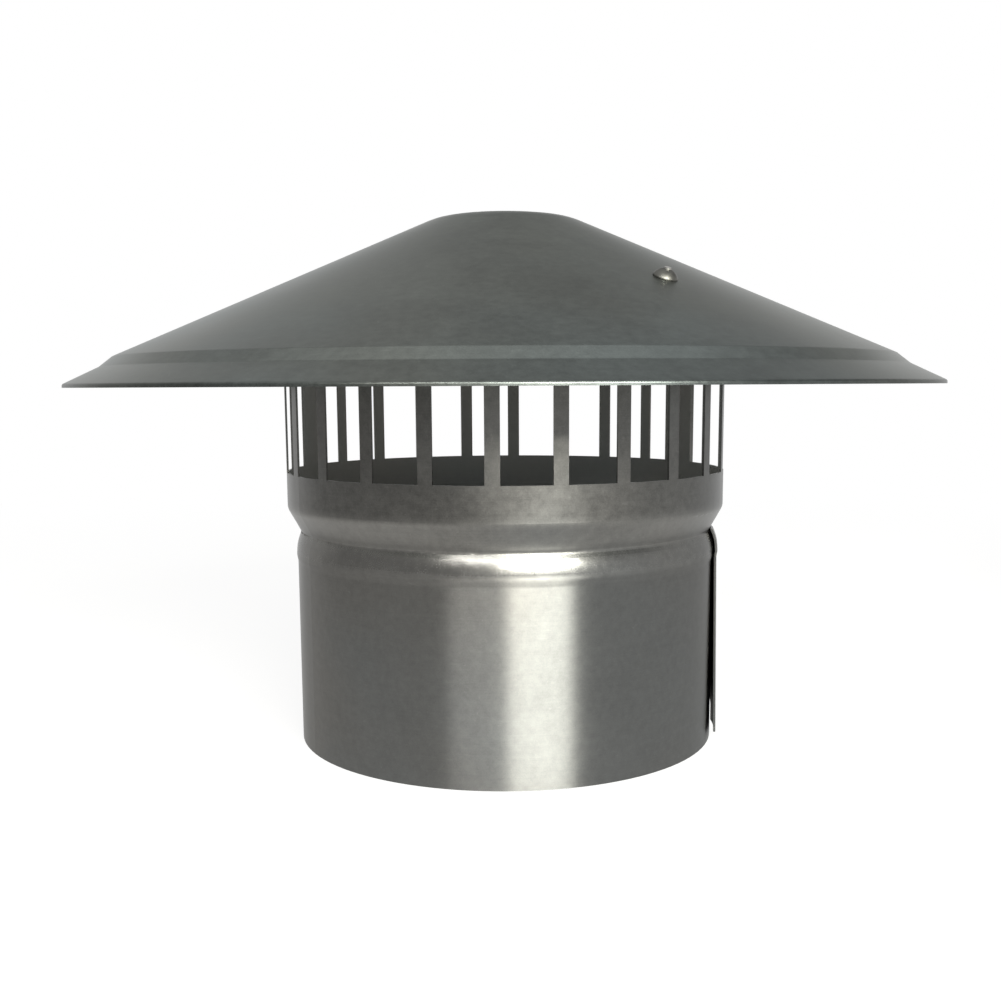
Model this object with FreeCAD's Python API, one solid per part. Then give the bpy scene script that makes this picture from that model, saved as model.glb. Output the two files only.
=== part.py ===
import FreeCAD, Part
import math
import os

# Exhaust vent cap: a conical rain hat riveted to a slotted collar that slips over a round pipe.
# Millimetres and degrees. +Z is up and the origin is the centre of the skirt's bottom edge.
# Azimuth 0 points along -Y, which is the front, and positive azimuths turn towards +X.

# Pipe that the skirt slips over
pipe_diameter = 150.0
pipe_clearance = 0.3

# Rolled body sheet, from the bottom edge upwards: each rise is measured from the one before
body_sheet = 0.7
skirt_height = 65.4
bead_rise = 2.0
bead_proud = 0.4
shoulder_rise = 4.6
shoulder_fall = 0.25
groove_rise = 4.0
groove_depth = 1.5
flank_rise = 8.6
collar_step = 3.2
sill_rise = 12.7
slot_height = 50.0
band_height = 10.4
crease_bend = 3.0
bead_bend = 4.0
shoulder_bend = 14.0
groove_bend = 1.2
flank_bend = 4.0

# Slotted collar: plain narrow bars, and two wide ones where the sheet is left unpunched.
# The sheet is rolled a little tighter at the back, which moves the bars at the sides that way.
bar_count = 24
first_bar_azimuth = -2.75
bar_drift = 1.2
bar_width = 4.8
wide_bar_width = 16.6
seam_bar = 8
web_bar = 17

# Lap seam and its loose tongue below the groove
lap_gap = 0.05
weld_diameter = 4.0
bar_weld_count = 2
tongue_edge_azimuth = 76.0
tongue_slit = 0.5
tongue_gap_top = 0.7
tongue_gap_bottom = 1.9
tongue_foot_rise = 1.5
tongue_corner_radius = 2.0
notch_height = 10.5
notch_start_azimuth = 88.0
notch_corner_radius = 3.0

# Tabs bent outwards under the hat, one for each rivet
tab_count = 3
first_tab_azimuth = 35.0
tab_pitch = 113.0
tab_width = 18.0
tab_length = 13.0
tab_rise = 3.0
tab_bend = 1.0
tab_corner_radius = 3.0
seat_film = 0.05

# Spun hat, from the crown outwards
hat_sheet = 0.7
hat_diameter = 303.6
crown_diameter = 48.4
crown_bend = 21.0
cone_slope = 23.6
brim_width = 11.6
brim_slope = 25.7
step_run = 4.3
step_drop = 3.4
step_bend = 2.4
lip_height = 1.1
lip_bend = 0.9

# Blind rivet: an open dome-head body round the broken-off mandrel
rivet_inset = 6.0
rivet_diameter = 4.0
rivet_hole_clearance = 0.05
rivet_head_diameter = 7.8
rivet_head_height = 2.8
rivet_head_edge = 0.4
rivet_tail_diameter = 6.0
rivet_tail_length = 4.4
rivet_tail_neck = 0.8
mandrel_diameter = 2.2
mandrel_clearance = 0.05
mandrel_stub_rise = 0.3
mandrel_head_diameter = 3.6
mandrel_head_length = 1.5
mandrel_head_lip = 0.6

# Margin by which a cutting tool runs past what it cuts
overrun = 1.0

# Values worked out from the ones above
skirt_bore = pipe_diameter / 2 + pipe_clearance
skirt_radius = skirt_bore + body_sheet
bead_height = skirt_height + bead_rise
shoulder_height = bead_height + shoulder_rise
groove_height = shoulder_height + groove_rise
flank_height = groove_height + flank_rise
slot_bottom_height = flank_height + sill_rise
groove_radius = skirt_radius - groove_depth
bead_radius = skirt_radius + bead_proud
shoulder_radius = bead_radius - shoulder_fall
collar_radius = skirt_radius + collar_step
collar_top = slot_bottom_height + slot_height + band_height
tab_corner_height = collar_top + tab_rise
lap_step = body_sheet + lap_gap
slope_sine = math.sin(math.radians(cone_slope))
slope_cosine = math.cos(math.radians(cone_slope))
slope_tangent = math.tan(math.radians(cone_slope))
seat_stack = hat_sheet + seat_film + body_sheet
rim_radius = hat_diameter / 2
crown_radius = crown_diameter / 2
bar_pitch = 360.0 / bar_count
wide_half_angle = math.degrees(wide_bar_width / 2 / collar_radius)
bar_half_angle = math.degrees(bar_width / 2 / collar_radius)
tongue_top = groove_height - tongue_slit
rivet_radius = collar_radius + rivet_inset
rivet_grip = seat_stack + lap_step * slope_sine + 2 * seat_film


def bar_azimuth(bar):
    """Azimuth of a bar's middle."""
    even = first_bar_azimuth + bar * bar_pitch
    return even + bar_drift * math.sin(math.radians(even))


seam_azimuth = bar_azimuth(seam_bar)
lap_start_azimuth = seam_azimuth - wide_half_angle
lap_end_azimuth = seam_azimuth + wide_half_angle


def tab_azimuth(number):
    """Azimuth of a tab's middle, and of its rivet."""
    return first_tab_azimuth + number * tab_pitch


def azimuth_direction(azimuth):
    """Level unit vector that points away from the axis at an azimuth."""
    angle = math.radians(azimuth)
    return FreeCAD.Vector(math.sin(angle), -math.cos(angle), 0)


def hat_height_at(radius):
    """Height of the cone's outer face, which rests on the tabs, at a radius."""
    seat = tab_corner_height + seat_stack / slope_cosine
    return seat - (radius - collar_radius) * slope_tangent


def strip_section(corners, thickness):
    """Section of a sheet of even thickness in the XZ plane, bent at the inner corners.

    corners lists (x, z, bend radius) along one face. The sheet lies to the left of that path.
    """
    points = [FreeCAD.Vector(x, 0, z) for x, z, bend in corners]
    bends = [bend for x, z, bend in corners]
    near = []
    far = []

    def add(point, normal):
        near.append(point)
        far.append(point + normal * thickness)

    def left_of(direction):
        return FreeCAD.Vector(-direction.z, 0, direction.x)

    arcs = []
    runs = [(b - a).normalize() for a, b in zip(points, points[1:])]
    add(points[0], left_of(runs[0]))
    for corner, bend, before, after in zip(points[1:], bends[1:], runs, runs[1:]):
        half_turn = before.getAngle(after) / 2
        setback = bend * math.tan(half_turn)
        start = corner - before * setback
        end = corner + after * setback
        inward = (after - before).normalize()
        centre = corner + inward * (bend / math.cos(half_turn))
        middle = centre - inward * bend
        turns_left = inward.dot(left_of(before)) > 0
        middle_normal = inward if turns_left else inward * -1
        arcs.append(len(near))
        add(start, left_of(before))
        add(middle, middle_normal)
        add(end, left_of(after))
    add(points[-1], left_of(runs[-1]))

    def face_edges(line):
        edges = []
        index = 0
        while index < len(line) - 1:
            if index in arcs:
                edges.append(Part.Arc(line[index], line[index + 1], line[index + 2]).toShape())
                index += 2
            else:
                edges.append(Part.LineSegment(line[index], line[index + 1]).toShape())
                index += 1
        return edges

    ends = [
        Part.LineSegment(near[-1], far[-1]).toShape(),
        Part.LineSegment(far[0], near[0]).toShape(),
    ]
    edges = face_edges(near) + ends + face_edges(far)
    return Part.Face(Part.Wire(Part.__sortEdges__(edges)))


def sweep_section(section, start_azimuth, end_azimuth, axis_shift=0.0, shift_azimuth=0.0):
    """Turn a section in the XZ plane about an upright axis, between two azimuths.

    The section's x is measured from the axis, which may lie axis_shift away from the part's.
    """
    axis = azimuth_direction(shift_azimuth) * axis_shift
    turned = section.copy()
    turned.rotate(FreeCAD.Vector(0, 0, 0), FreeCAD.Vector(0, 0, 1), start_azimuth - 90)
    turned.translate(axis)
    return turned.revolve(axis, FreeCAD.Vector(0, 0, 1), end_azimuth - start_azimuth)


def wedge(start_azimuth, end_azimuth, bottom, top, radius):
    """Upright pie slice about the part's axis, used to cut the rolled wall."""
    slice_angle = end_azimuth - start_azimuth
    solid = Part.makeCylinder(
        radius, top - bottom, FreeCAD.Vector(0, 0, bottom), FreeCAD.Vector(0, 0, 1), slice_angle
    )
    solid.rotate(FreeCAD.Vector(0, 0, 0), FreeCAD.Vector(0, 0, 1), start_azimuth - 90)
    return solid


def sheet_edges(solid):
    """Edges of a piece of body sheet that run straight through its thickness."""
    return [edge for edge in solid.Edges if abs(edge.Length - body_sheet) < body_sheet / 10]


def distance_from_axis(edge):
    """Distance of an edge's middle from the part's axis."""
    return math.hypot(edge.CenterOfMass.x, edge.CenterOfMass.y)


def azimuth_of(edge):
    """Azimuth of an edge's middle."""
    return math.degrees(math.atan2(edge.CenterOfMass.x, -edge.CenterOfMass.y))


def wall_corners(radius_shift):
    """Outer face of the rolled wall: skirt, bead, groove, flank and collar."""
    return [
        (skirt_radius + radius_shift, 0.0, 0.0),
        (skirt_radius + radius_shift, skirt_height, crease_bend),
        (bead_radius + radius_shift, bead_height, bead_bend),
        (shoulder_radius + radius_shift, shoulder_height, shoulder_bend),
        (groove_radius + radius_shift, groove_height, groove_bend),
        (collar_radius + radius_shift, flank_height, flank_bend),
        (collar_radius + radius_shift, collar_top, 0.0),
    ]


def tab_section(radius_shift, winding_step):
    """Section of a tab: up from the collar's top edge, then out along the hat's underside."""
    base = collar_radius + radius_shift
    corner_height = tab_corner_height - winding_step * slope_tangent
    return strip_section(
        [
            (base, collar_top, 0.0),
            (base, corner_height, tab_bend),
            (base + tab_length * slope_cosine, corner_height - tab_length * slope_sine, 0.0),
        ],
        body_sheet,
    )


def winding(winding_step, start_azimuth, end_azimuth):
    """Half turn of the rolled sheet, with the tabs that stand on it.

    The half that ends outside the lap is turned about an axis half a step nearer the seam, so
    that it is one step further out at the seam and level with the other half opposite it.
    """
    shift = winding_step / 2
    section = strip_section(wall_corners(shift), body_sheet)
    tab = tab_section(shift, winding_step)
    solids = [sweep_section(section, start_azimuth, end_azimuth, shift, seam_azimuth)]
    tab_half_angle = math.degrees(tab_width / 2 / collar_radius)
    for number in range(tab_count):
        start = tab_azimuth(number) - tab_half_angle
        end = tab_azimuth(number) + tab_half_angle
        if start >= start_azimuth and end <= end_azimuth:
            blank = sweep_section(tab, start, end, shift, seam_azimuth)
            tip_corners = sorted(sheet_edges(blank), key=distance_from_axis)[-2:]
            solids.append(blank.makeFillet(tab_corner_radius, tip_corners))
    return solids


def tongue():
    """Loose end of the outer winding below the groove, sprung open about a leaning axis."""
    shift = lap_step / 2
    section = strip_section(wall_corners(shift), body_sheet)
    below_slit = Part.makeBox(
        2 * collar_radius,
        2 * overrun,
        tongue_top - tongue_foot_rise,
        FreeCAD.Vector(0, -overrun, tongue_foot_rise),
    )
    section = section.common(below_slit).Faces[0]
    opening = 1 - math.cos(math.radians(lap_end_azimuth - tongue_edge_azimuth))
    foot_shift = tongue_gap_bottom / opening
    head_shift = tongue_gap_top / opening
    foot = FreeCAD.Vector(-foot_shift, 0, 0)
    head = FreeCAD.Vector(-head_shift, 0, tongue_top)
    lean = (head - foot).normalize()
    sprung = section.revolve(foot, lean, tongue_edge_azimuth - lap_end_azimuth)
    sprung.rotate(FreeCAD.Vector(0, 0, 0), FreeCAD.Vector(0, 0, 1), lap_end_azimuth - 90)
    sprung.translate(azimuth_direction(seam_azimuth) * shift)
    low_corners = [edge for edge in sheet_edges(sprung) if edge.CenterOfMass.z < notch_height]
    return sprung.makeFillet(tongue_corner_radius, [min(low_corners, key=azimuth_of)])


def notch():
    """Relief cut in the tongue's bottom edge, behind its free strip."""
    inner = skirt_radius + lap_gap / 2
    outer = bead_radius + tongue_gap_bottom + 2 * lap_step
    plate = Part.makePlane(
        outer - inner,
        notch_height + overrun,
        FreeCAD.Vector(inner, 0, -overrun),
        FreeCAD.Vector(0, -1, 0),
        FreeCAD.Vector(1, 0, 0),
    )
    ring = sweep_section(plate, notch_start_azimuth, lap_start_azimuth)
    top_corners = [
        edge
        for edge in ring.Edges
        if abs(edge.Length - (outer - inner)) < lap_gap and edge.CenterOfMass.z > notch_height / 2
    ]
    return ring.makeFillet(notch_corner_radius, top_corners)


def spot_weld(height):
    """Weld nugget that joins the two windings in the lap of the collar."""
    outward = azimuth_direction(seam_azimuth)
    start = outward * (collar_radius - body_sheet / 2) + FreeCAD.Vector(0, 0, height)
    return Part.makeCylinder(weld_diameter / 2, lap_step, start, outward)


def weld_heights():
    """Heights of the welds: on the sill, up the wide bar and on the top band."""
    bar_gap = slot_height / (bar_weld_count + 1)
    heights = [slot_bottom_height + (number + 1) * bar_gap for number in range(bar_weld_count)]
    return [(flank_height + slot_bottom_height) / 2, collar_top - band_height / 2] + heights


def slot_cutters():
    """Pie slices between neighbouring bars of the collar."""
    wide = {seam_bar, web_bar}
    cutters = []
    for bar in range(bar_count):
        half_here = wide_half_angle if bar in wide else bar_half_angle
        half_next = wide_half_angle if (bar + 1) % bar_count in wide else bar_half_angle
        cutters.append(
            wedge(
                bar_azimuth(bar) + half_here,
                bar_azimuth(bar + 1) - half_next,
                slot_bottom_height,
                slot_bottom_height + slot_height,
                collar_radius + lap_step + overrun,
            )
        )
    return cutters


def rivet_placements():
    """Places of the rivets: local origin on the cone's outer face, local Z along its normal."""
    places = []
    for number in range(tab_count):
        outward = azimuth_direction(tab_azimuth(number))
        origin = outward * rivet_radius + FreeCAD.Vector(0, 0, hat_height_at(rivet_radius))
        normal = outward * slope_sine + FreeCAD.Vector(0, 0, slope_cosine)
        turn = FreeCAD.Rotation(FreeCAD.Vector(0, 0, 1), normal)
        places.append(FreeCAD.Placement(origin, turn))
    return places


def rivet_holes():
    """Holes drilled through the hat and the tabs for the rivet shanks."""
    reach = seat_stack + 2 * lap_step + overrun
    holes = []
    for place in rivet_placements():
        hole = Part.makeCylinder(
            rivet_diameter / 2 + rivet_hole_clearance,
            reach + overrun,
            FreeCAD.Vector(0, 0, -reach),
        )
        hole.Placement = place
        holes.append(hole)
    return holes


def turned_piece(outline):
    """Solid of revolution about local Z from an outline of edges in the XZ plane."""
    face = Part.Face(Part.Wire(Part.__sortEdges__(outline)))
    return face.revolve(FreeCAD.Vector(0, 0, 0), FreeCAD.Vector(0, 0, 1), 360)


def line_edges(points):
    """Straight edges through (x, z) points in the XZ plane."""
    vectors = [FreeCAD.Vector(x, 0, z) for x, z in points]
    return [Part.LineSegment(a, b).toShape() for a, b in zip(vectors, vectors[1:])]


def rivet_dome_height(radius):
    """Height of the rivet's domed head above the cone, at a radius from the rivet's axis."""
    rise = rivet_head_height - rivet_head_edge
    half_width = rivet_head_diameter / 2
    dome_radius = (half_width**2 + rise**2) / (2 * rise)
    fall = dome_radius - math.sqrt(dome_radius**2 - radius**2)
    return seat_film + rivet_head_height - fall


def make_rivet_body():
    """Open dome-head body, with the tail that the mandrel has upset under the tab."""
    bore = mandrel_diameter / 2 + mandrel_clearance
    shank = rivet_diameter / 2
    head = rivet_head_diameter / 2
    tail = rivet_tail_diameter / 2
    dome = Part.Arc(
        *[FreeCAD.Vector(x, 0, rivet_dome_height(x)) for x in (head, (head + bore) / 2, bore)]
    ).toShape()
    tail_start = -rivet_grip
    tail_end = tail_start - rivet_tail_length
    cup = mandrel_head_diameter / 2 + mandrel_clearance
    cup_top = tail_end + mandrel_head_length
    outline = line_edges(
        [
            (bore, rivet_dome_height(bore)),
            (bore, cup_top),
            (cup, cup_top - (cup - bore)),
            (cup, tail_end),
            (tail - rivet_tail_neck / 2, tail_end),
            (tail, tail_end + rivet_tail_neck),
            (tail, tail_start - rivet_tail_neck),
            (tail - rivet_tail_neck / 2, tail_start),
            (shank, tail_start),
            (shank, seat_film),
            (head, seat_film),
            (head, rivet_dome_height(head)),
        ]
    )
    return turned_piece(outline + [dome])


def make_rivet_mandrel():
    """Broken-off pin that stays in the rivet: a stub in the head and a bulb in the tail."""
    stub = mandrel_diameter / 2
    bulb = mandrel_head_diameter / 2
    top = rivet_dome_height(0) + mandrel_stub_rise
    tail_end = -rivet_grip - rivet_tail_length
    bulb_top = tail_end + mandrel_head_length - 2 * mandrel_clearance
    outline = line_edges(
        [
            (0, top),
            (stub, top),
            (stub, bulb_top),
            (bulb, bulb_top - (bulb - stub)),
            (bulb, tail_end),
            (stub, tail_end - mandrel_head_lip),
            (0, tail_end - mandrel_head_lip),
            (0, top),
        ]
    )
    return turned_piece(outline)


def make_body():
    """Rolled sheet: two half windings, the loose tongue, the slots, tabs and holes."""
    joint_azimuth = seam_azimuth - 180
    reach = collar_radius + 2 * lap_step
    tongue_room = wedge(
        lap_start_azimuth - bar_pitch, lap_end_azimuth, -overrun, groove_height, reach
    )
    tongue_room.translate(azimuth_direction(seam_azimuth) * (lap_step / 2))
    inner = winding(0.0, joint_azimuth, lap_end_azimuth)
    outer = winding(lap_step, lap_start_azimuth, joint_azimuth + 360)
    outer[0] = outer[0].cut(tongue_room)
    welds = [spot_weld(height) for height in weld_heights()]
    body = inner[0].fuse(inner[1:] + outer + [tongue()] + welds)
    return body.cut(slot_cutters() + rivet_holes() + [notch()]).removeSplitter()


def make_hat():
    """Spun sheet: flat crown, cone, step, sloping brim and a lip turned down at the rim."""
    step_foot_radius = rim_radius - brim_width
    cone_end_radius = step_foot_radius - step_run
    cone_end_height = hat_height_at(cone_end_radius)
    step_foot_height = cone_end_height - step_drop
    rim_height = step_foot_height - brim_width * math.tan(math.radians(brim_slope))
    corners = [
        (0.0, hat_height_at(crown_radius), 0.0),
        (crown_radius, hat_height_at(crown_radius), crown_bend),
        (cone_end_radius, cone_end_height, step_bend),
        (step_foot_radius, step_foot_height, step_bend),
        (rim_radius, rim_height, lip_bend),
        (rim_radius, rim_height - lip_height, 0.0),
    ]
    section = strip_section(corners, -hat_sheet)
    spun = section.revolve(FreeCAD.Vector(0, 0, 0), FreeCAD.Vector(0, 0, 1), 360)
    return spun.cut(rivet_holes())


def write(name, shape):
    """Write one piece to its own file."""
    shape.exportStep("parts/" + name + ".step")
    print(name, shape.isValid(), len(shape.Solids), round(shape.Volume, 2), shape.BoundBox)


def main():
    os.makedirs("parts", exist_ok=True)
    write("hat", make_hat())
    write("body", make_body())
    sides = ("front", "back", "left")
    for side, place in zip(sides, rivet_placements()):
        rivet = make_rivet_body()
        rivet.Placement = place
        write("rivet_" + side, rivet)
        mandrel = make_rivet_mandrel()
        mandrel.Placement = place
        write("mandrel_" + side, mandrel)


main()
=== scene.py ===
import math

import bpy
from mathutils import Matrix

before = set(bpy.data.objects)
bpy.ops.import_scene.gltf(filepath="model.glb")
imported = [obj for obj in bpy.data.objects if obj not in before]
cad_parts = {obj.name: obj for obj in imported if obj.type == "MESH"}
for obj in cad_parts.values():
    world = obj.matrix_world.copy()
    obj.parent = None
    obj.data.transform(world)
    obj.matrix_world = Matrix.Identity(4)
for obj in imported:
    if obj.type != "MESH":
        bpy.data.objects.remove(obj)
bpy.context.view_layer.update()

# Exhaust vent cap in satin mill-finish sheet, on a plain pale floor.
# Metres and degrees. +Z is up. Azimuth 0 points along -Y, which is the front, and positive
# azimuths turn towards +X.

# Camera: the image's size and centre and the focal length are in pixels
image_width = 1001
focal_length = 1190.0
centre_column = 505.5
centre_row = 555.0
sensor_width = 36.0
camera_distance = 0.4389
camera_height = 0.1277
camera_tilt = 8.146
camera_roll = -0.30
camera_nearest = 0.01

# Soft boxes at one distance from the axis: one in front and a little to the right, and a
# smaller one higher up on the left
box_distance = 1.30
soft_boxes = {
    "key": {
        "azimuth": 18.0,
        "base": 0.35,
        "width": 0.77,
        "height": 0.42,
        "power": 50.0,
        "colour": (1.0, 0.975, 0.89),
    },
    "fill": {
        "azimuth": -14.0,
        "base": 0.76,
        "width": 0.80,
        "height": 0.25,
        "power": 15.0,
        "colour": (1.0, 0.99, 0.96),
    },
}

# Floor: it takes the object's shadow near the axis, and further out it glows a plain white
floor_radius = 20.0
floor_corners = 64
floor_colour = (0.86, 0.86, 0.85, 1.0)
floor_glow = 0.84
floor_glow_from = 0.22
floor_glow_full = 1.0

# Sides on which the surround is softer than white: azimuth, level, and the cosines of the
# angle off that azimuth at which the dimming starts and is full. On the floor it fades in
# between two distances from the axis.
dim_sides = ((-66.0, 0.52, 0.46, 0.88), (95.0, 0.90, 0.60, 0.97))
dim_from = 0.17
dim_full = 0.62

# Surround above the floor, over the height of a direction of length one
white_top = 0.32
grey_bottom = 0.45
grey_left = 0.66
grey_right = 0.47
grey_turn_left = -0.26
grey_turn_right = 0.12
dusk_bottom = 0.65
dusk_top = 0.72
dusk_level = 0.44
overhead_edge = 0.81
overhead_middle = 0.93
overhead_widening = 0.25
overhead_level = 0.66
white = (1.0, 1.0, 1.0, 1.0)

# Heights between which the body's finish changes, from the skirt's below to the collar's above
collar_low = 0.076
collar_high = 0.084
# Height over which the collar's outer face turns darker above the collar's lower limit: painted
# shade, where the hat's brim shades the collar
collar_fade = 0.004

# Heights of the rolled bead and shoulder, where the roller has polished the sheet
bead_low = 0.0670
bead_high = 0.0775
bead_fade = 0.0030
bead_polish = -0.13
bead_evening = -0.75

# Heights between which the hat's turned-down lip is painted darker: painted shade on the lip
lip_low = 0.1283
lip_high = 0.1291

# Heights between which the sheet's inner face is painted lighter, and by how much: painted light
# in the hollow under the hat
inner_low = 0.086
inner_high = 0.104
inner_painted_light = (0.7, 1.2)
inner_edge = -0.004

# Range that most of a noise lies in
noise_low = 0.3
noise_high = 0.7

# Mill finish: sizes of the patterns, in repeats for each metre
streak_length = 45.0
streak_width = 2600.0
cloud_scale = 38.0
tint_scale = 9.0
blotch_scale = 380.0
grain_scale = 2300.0

# Two families of scratches: turn in radians, repeats for each metre, and the noise levels
# at which a scratch starts and is full
scratch_families = (
    ((0.5, 0.9, 0.35), (900.0, 26.0, 900.0), 0.70, 0.80),
    ((-0.8, 0.3, 1.4), (22.0, 800.0, 800.0), 0.71, 0.81),
)

# Relief of the sheet and of the fasteners
sheet_relief = {"Strength": 0.10, "Distance": 0.00004}
pit_relief = {"Strength": 0.3, "Distance": 0.00005}


class Nodes:
    """Short way to write a node tree: each call adds a node and gives back one output."""

    def __init__(self, tree):
        self.tree = tree
        tree.nodes.clear()

    def fill(self, socket, value):
        """Link a socket to another one, or set its value."""
        if isinstance(value, bpy.types.NodeSocket):
            self.tree.links.new(value, socket)
        else:
            socket.default_value = value

    def add(self, kind, inputs=None, output=0, **settings):
        """Add a node and give back an output, or all of them where output is None."""
        node = self.tree.nodes.new(kind)
        for name, value in settings.items():
            setattr(node, name, value)
        for name, value in (inputs or {}).items():
            self.fill(node.inputs[name], value)
        return node.outputs if output is None else node.outputs[output]

    def math(self, operation, first, second=0.0):
        return self.add("ShaderNodeMath", {0: first, 1: second}, operation=operation)

    def sum(self, *values):
        total = values[0]
        for value in values[1:]:
            total = self.math("ADD", total, value)
        return total

    def product(self, *values):
        total = values[0]
        for value in values[1:]:
            total = self.math("MULTIPLY", total, value)
        return total

    def parts(self, vector):
        """X, Y and Z of a vector."""
        return self.add("ShaderNodeSeparateXYZ", {0: vector}, output=None)

    def off_axis(self, x, y):
        """Distance from the upright axis."""
        return self.math("SQRT", self.sum(self.product(x, x), self.product(y, y)))

    def mix(self, factor, first, second):
        """Colour between two others: on this node the colours are inputs 6 and 7."""
        return self.add(
            "ShaderNodeMix", {0: factor, 6: first, 7: second}, output=2, data_type="RGBA"
        )

    def spread(self, value, low, high, to_low=0.0, to_high=1.0):
        """Even change from one value to another, between two limits."""
        return self.add("ShaderNodeMapRange", {0: value, 1: low, 2: high, 3: to_low, 4: to_high})

    def ease(self, value, low, high, to_low=0.0, to_high=1.0):
        """Change from one value to another that starts and ends softly."""
        return self.add(
            "ShaderNodeMapRange",
            {0: value, 1: low, 2: high, 3: to_low, 4: to_high},
            interpolation_type="SMOOTHSTEP",
        )

    def swing(self, noise, amount, middle=0.0):
        """Noise as a value that swings by an amount to both sides of a middle."""
        return self.spread(noise, noise_low, noise_high, middle - amount, middle + amount)

    def noise(self, vector, scale, detail=3.0, roughness=0.5, distortion=0.0):
        return self.add(
            "ShaderNodeTexNoise",
            {
                "Vector": vector,
                "Scale": scale,
                "Detail": detail,
                "Roughness": roughness,
                "Distortion": distortion,
            },
        )

    def scratches(self, place):
        """Fine scratches of all the families, from 0 to 1."""
        families = []
        for turn, scale, start, full in scratch_families:
            stretched = self.add(
                "ShaderNodeMapping", {"Vector": place, "Rotation": turn, "Scale": scale}
            )
            families.append(self.spread(self.noise(stretched, 1.0, detail=1.0), start, full))
        return self.math("MAXIMUM", *families)

    def close(self, shader, kind="ShaderNodeOutputMaterial"):
        """End the tree with its output."""
        self.add(kind, {"Surface": shader}, output=None)


def new_material(name):
    """Node material with an empty tree, and the way to write into that tree."""
    material = bpy.data.materials.new(name)
    material.use_nodes = True
    return material, Nodes(material.node_tree)


def tinted(base, tint):
    """Base colour times a tint, as the colour of a node's socket."""
    return tuple(base[i] * tint[i] for i in range(3)) + (1.0,)


def sheet_metal(
    name, base, tints, upright, roughness, inner_roughness, anisotropy, edge, painted_shade
):
    """Satin steel sheet: cloudy mill finish, fine grain, and streaks that run round the axis.

    tints are the two casts that the base colour drifts between. upright says that the streaks
    lie above one another, as on a wall, and not side by side, as on a cone. roughness,
    anisotropy and edge, which is the sheen at grazing angles, have a value for the skirt and
    one for above the groove. The last argument has the heights between which the outer face is
    painted darker, and by how much: painted shade, on the hat's lip and on the collar under the
    hat's brim. The inner face is painted lighter, more so higher up: painted light in the
    hollow.
    """
    material, n = new_material(name)
    place = n.add("ShaderNodeTexCoord", output="Object")
    x, y, z = n.parts(place)
    across = z if upright else n.off_axis(x, y)
    round_axis = n.add(
        "ShaderNodeCombineXYZ",
        {
            0: n.product(x, streak_length),
            1: n.product(y, streak_length),
            2: n.product(across, streak_width),
        },
    )
    streaks = n.noise(round_axis, 1.0, roughness=0.6)
    clouds = n.noise(place, cloud_scale, detail=4.0, roughness=0.55, distortion=0.4)
    tint = n.noise(place, tint_scale, detail=2.0)
    blotches = n.noise(place, blotch_scale, roughness=0.6)
    grain = n.noise(place, grain_scale, detail=2.0, roughness=0.7)
    scratches = n.scratches(place)

    # 1 on the faces that look inwards or down, 0 on those that look outwards
    nx, ny, nz = n.parts(n.add("ShaderNodeNewGeometry", output="Normal"))
    outward = n.sum(n.product(nx, x), n.product(ny, y), n.product(nz, 0.03))
    inside = n.spread(outward, inner_edge, 0.0, 1.0, 0.0)

    warm, cool = tints
    colour = n.mix(n.ease(tint, 0.36, 0.64), tinted(base, warm), tinted(base, cool))
    # Brightness of the base colour: mill mottling, blotches, grain, streaks and scratches, plus
    # painted shade on the outer face and painted light on the inner face
    marks_and_painted_light = n.sum(
        n.swing(clouds, 0.08, 1.0),
        # painted shade: the outer face is darker between the given heights
        n.product(n.ease(z, *painted_shade), n.sum(inside, -1.0)),
        n.swing(blotches, 0.08),
        n.swing(grain, 0.07),
        n.swing(streaks, 0.03),
        n.product(scratches, 0.12),
        # painted light: the inner face is lighter, more so higher up
        n.product(inside, n.ease(z, inner_low, inner_high, *inner_painted_light)),
    )
    finish = n.ease(z, collar_low, collar_high, *roughness)
    brushed, above = anisotropy
    sheen = (edge[0], edge[0], edge[0], 1.0)
    if above != brushed:
        brushed = n.ease(z, collar_low, collar_high, brushed, above)
        sheen = n.ease(z, collar_low, collar_high, *edge)
        rolled = n.product(
            n.ease(z, bead_low, bead_low + bead_fade),
            n.ease(z, bead_high - bead_fade, bead_high, 1.0, 0.0),
        )
        brushed = n.math("MAXIMUM", n.sum(brushed, n.product(rolled, bead_evening)), 0.0)
        finish = n.sum(finish, n.product(rolled, bead_polish))
    rough = n.sum(
        n.math("MAXIMUM", finish, n.product(inside, inner_roughness)),
        n.swing(clouds, 0.02),
        n.swing(blotches, 0.012),
        n.swing(grain, 0.02),
    )
    relief = n.sum(n.product(streaks, 0.5), n.product(grain, 0.5), n.product(scratches, 0.8))
    shader = n.add(
        "ShaderNodeBsdfPrincipled",
        {
            "Base Color": n.add("ShaderNodeHueSaturation", {"Color": colour, "Value": marks_and_painted_light}),
            "Metallic": 1.0,
            "Roughness": rough,
            "Specular Tint": sheen,
            "Anisotropic": brushed,
            "Anisotropic Rotation": 0.25,
            "Tangent": n.add("ShaderNodeTangent", direction_type="RADIAL", axis="Z"),
            "Normal": n.add("ShaderNodeBump", {**sheet_relief, "Height": relief}),
        },
    )
    n.close(shader)
    return material


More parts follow.
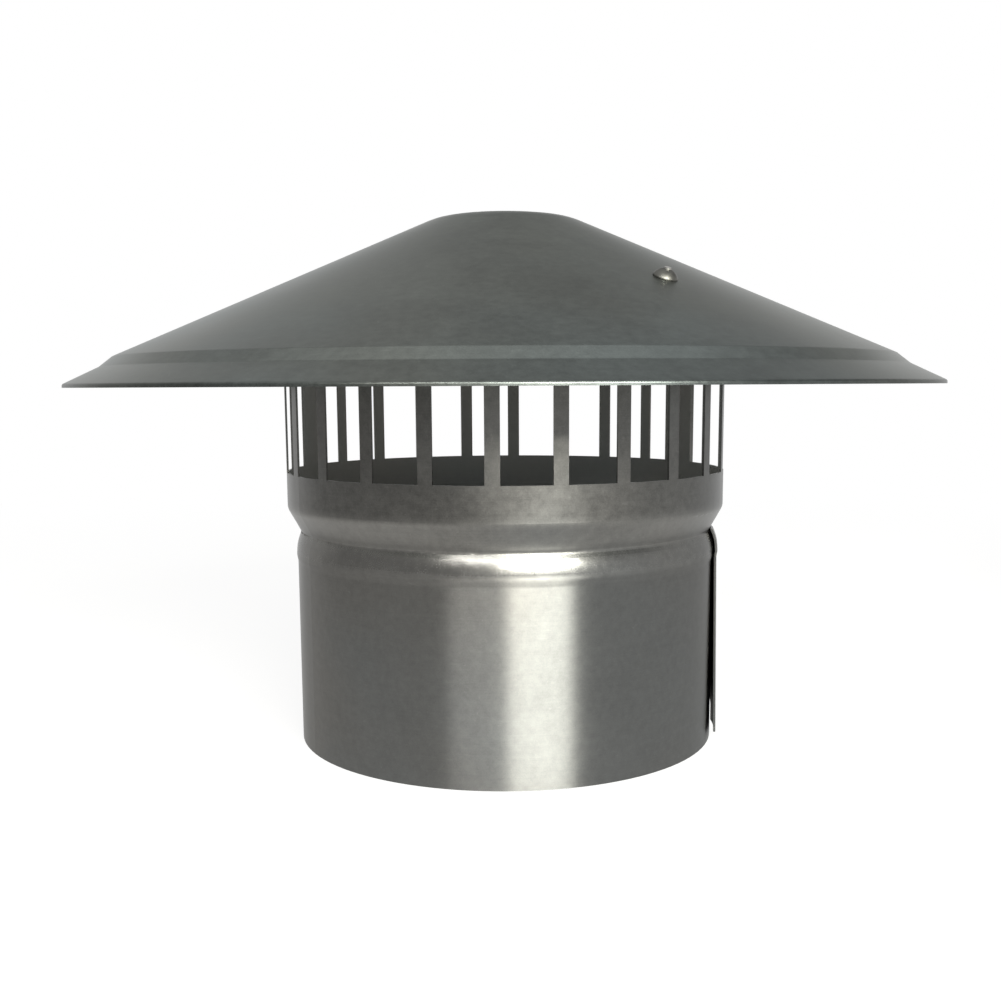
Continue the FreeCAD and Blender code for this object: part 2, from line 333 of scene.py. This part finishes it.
def small_metal(name, base, roughness, pit_scale):
    """Bare metal of a small fastener, dulled and pitted here and there."""
    material, n = new_material(name)
    place = n.add("ShaderNodeTexCoord", output="Object")
    pits = n.noise(place, pit_scale, roughness=0.6)
    dull = n.noise(place, pit_scale / 5, detail=2.0)
    dark = tinted(base, (0.72, 0.72, 0.72))
    bright = tinted(base, (1.0, 1.0, 1.0))
    shader = n.add(
        "ShaderNodeBsdfPrincipled",
        {
            "Base Color": n.mix(n.spread(dull, 0.38, 0.62), dark, bright),
            "Metallic": 1.0,
            "Roughness": n.swing(pits, 0.07, roughness + 0.01),
            "Normal": n.add("ShaderNodeBump", {**pit_relief, "Height": pits}),
        },
    )
    n.close(shader)
    return material


def dress(node, material):
    """Give a CAD node its finish."""
    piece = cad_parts[node]
    for slot in piece.material_slots:
        slot.material = material
    if not piece.material_slots:
        piece.data.materials.append(material)


def dress_all():
    """Finish of every piece: hat, body, and the three rivets with their mandrels."""
    hat_metal = sheet_metal(
        "hat_sheet",
        base=(0.160, 0.176, 0.167),
        tints=((1.03, 1.0, 0.97), (0.97, 1.0, 1.03)),
        upright=False,
        roughness=(0.34, 0.34),
        inner_roughness=0.34,
        anisotropy=(0.25, 0.25),
        edge=(0.79, 0.79),
        # painted shade: the turned-down lip's outer face is painted darker
        painted_shade=(lip_high, lip_low, 0.0, 0.50),
    )
    body_metal = sheet_metal(
        "body_sheet",
        base=(0.157, 0.158, 0.151),
        tints=((1.03, 1.0, 0.98), (0.98, 1.0, 1.02)),
        upright=True,
        roughness=(0.39, 0.32),
        inner_roughness=0.85,
        anisotropy=(1.0, 0.0),
        edge=(0.66, 0.85),
        # painted shade: the collar's outer face, under the hat's brim, is painted darker
        painted_shade=(collar_high, collar_high + collar_fade, 0.0, 0.30),
    )
    shell_metal = small_metal("rivet_shell", (0.12, 0.12, 0.11), 0.42, 900.0)
    pin_metal = small_metal("rivet_pin", (0.62, 0.61, 0.58), 0.32, 1400.0)
    dress("hat", hat_metal)
    dress("body", body_metal)
    for side in ("front", "back", "left"):
        dress("rivet_" + side, shell_metal)
        dress("mandrel_" + side, pin_metal)


def surround_level(n, x, y):
    """Brightness of the surround in a level direction: white behind, softer at the sides."""
    length = n.off_axis(x, y)
    east = n.math("DIVIDE", x, length)
    north = n.math("DIVIDE", y, length)
    levels = []
    for azimuth, level, start, full in dim_sides:
        turn = math.radians(azimuth)
        facing = n.sum(n.product(east, math.sin(turn)), n.product(north, -math.cos(turn)))
        levels.append(n.ease(facing, start, full, 1.0, level))
    return n.product(*levels)


def make_floor():
    """Pale floor that runs out of sight: it keeps the soft shadow near the object."""
    mesh = bpy.data.meshes.new("floor")
    turns = [corner * math.tau / floor_corners for corner in range(floor_corners)]
    corners = [
        (floor_radius * math.sin(turn), floor_radius * math.cos(turn), 0.0) for turn in turns
    ]
    mesh.from_pydata(corners, [], [list(range(floor_corners))[::-1]])
    floor = bpy.data.objects.new("floor", mesh)
    bpy.context.collection.objects.link(floor)
    material, n = new_material("pale_floor")
    x, y, z = n.parts(n.add("ShaderNodeTexCoord", output="Object"))
    distance = n.off_axis(x, y)
    rays = n.add("ShaderNodeLightPath", output=None)
    mirrored = n.math("MAXIMUM", rays["Is Glossy Ray"], rays["Is Transmission Ray"])
    shown = n.math("MAXIMUM", rays["Is Camera Ray"], mirrored)
    fade = n.ease(distance, floor_glow_from, floor_glow_full, floor_glow, 1.0)
    far = n.ease(distance, dim_from, dim_full)
    level = n.sum(1.0, n.product(far, n.sum(surround_level(n, x, y), -1.0)))
    matt = n.add("ShaderNodeBsdfDiffuse", {"Color": floor_colour})
    glow = n.add("ShaderNodeEmission", {"Color": white, "Strength": level})
    n.close(n.add("ShaderNodeMixShader", {0: n.product(shown, fade), 1: matt, 2: glow}))
    mesh.materials.append(material)


def make_world():
    """Studio surround: white low down, greyer above, with a soft light overhead."""
    world = bpy.data.worlds.new("studio")
    bpy.context.scene.world = world
    world.use_nodes = True
    n = Nodes(world.node_tree)
    x, y, z = n.parts(n.add("ShaderNodeTexCoord", output="Generated"))
    high = n.ease(z, white_top, grey_bottom)
    side = n.ease(x, grey_turn_left, grey_turn_right, grey_left, grey_right)
    grey = n.product(side, n.ease(z, dusk_bottom, dusk_top, 1.0, dusk_level))
    level = n.mix(high, surround_level(n, x, y), grey)
    widened = n.sum(z, n.product(n.math("ABSOLUTE", x), overhead_widening))
    overhead = n.ease(widened, overhead_edge, overhead_middle, 0.0, overhead_level)
    background = n.add(
        "ShaderNodeBackground", {"Color": white, "Strength": n.sum(level, overhead)}
    )
    n.close(background, "ShaderNodeOutputWorld")


def make_lamp(name, azimuth, base, width, height, power, colour):
    """Upright soft box that stands at an azimuth and faces the axis."""
    data = bpy.data.lights.new(name, "AREA")
    data.shape = "RECTANGLE"
    data.size = width
    data.size_y = height
    data.energy = power
    data.color = colour
    lamp = bpy.data.objects.new(name, data)
    turn = math.radians(azimuth)
    lamp.location = (
        box_distance * math.sin(turn),
        -box_distance * math.cos(turn),
        base + height / 2,
    )
    lamp.rotation_euler = (math.radians(90.0), 0.0, turn)
    lamp.visible_camera = False
    bpy.context.collection.objects.link(lamp)


def make_camera():
    """Camera in front of the object, a little above its middle and tilted down."""
    data = bpy.data.cameras.new("camera")
    data.sensor_fit = "HORIZONTAL"
    data.sensor_width = sensor_width
    data.lens = sensor_width * focal_length / image_width
    data.shift_x = (image_width / 2 - centre_column) / image_width
    data.shift_y = (centre_row - image_width / 2) / image_width
    data.clip_start = camera_nearest
    camera = bpy.data.objects.new("camera", data)
    place = Matrix.Translation((0.0, -camera_distance, camera_height))
    tilt = Matrix.Rotation(math.radians(90.0 - camera_tilt), 4, "X")
    roll = Matrix.Rotation(math.radians(camera_roll), 4, "Z")
    camera.matrix_world = place @ tilt @ roll
    bpy.context.collection.objects.link(camera)
    bpy.context.scene.camera = camera


dress_all()
make_floor()
make_world()
for name, box in soft_boxes.items():
    make_lamp(name, **box)
make_camera()
bpy.context.scene.view_settings.view_transform = "Standard"
